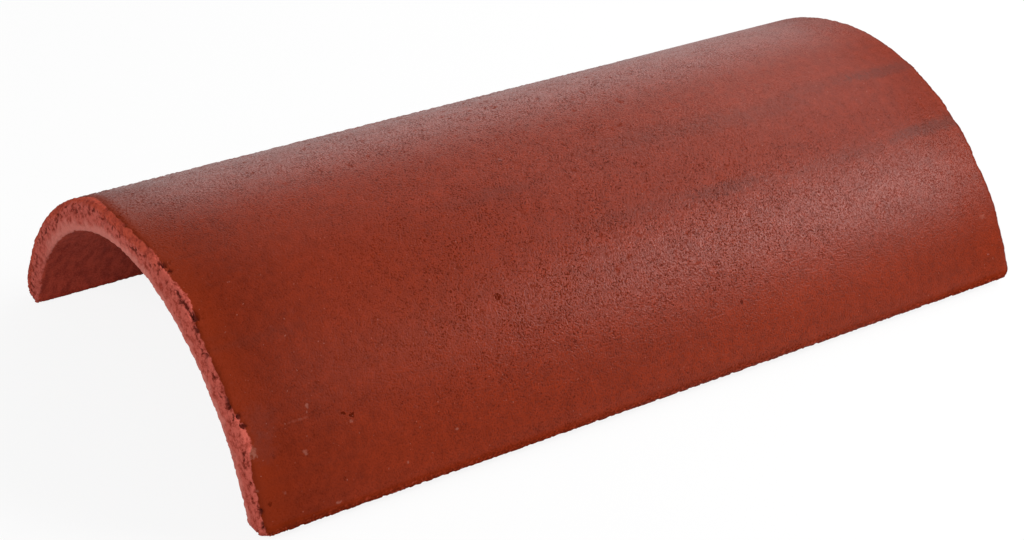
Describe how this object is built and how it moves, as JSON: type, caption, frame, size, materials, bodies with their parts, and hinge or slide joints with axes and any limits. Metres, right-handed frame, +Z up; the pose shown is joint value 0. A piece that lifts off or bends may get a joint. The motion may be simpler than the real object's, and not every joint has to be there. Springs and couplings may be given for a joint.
{
  "type": "half-round clay ridge tile",
  "caption": "Half-round fired-clay ridge tile: an arched wall of even thickness, open along its underside and at its ends, that caps a roof's ridge or hip.",
  "frame": {"origin": "under the middle of the tile, on the surface that its feet stand on", "axes": "+Y along the tile, +X across it to one foot, +Z up through the crown"},
  "size_m": [0.2562, 0.45, 0.0998],
  "materials": {
    "fired_clay": "satin"
  },
  "bodies": {
    "root": {"ridge_tile": "fired_clay"}
  },
  "joints": []
}
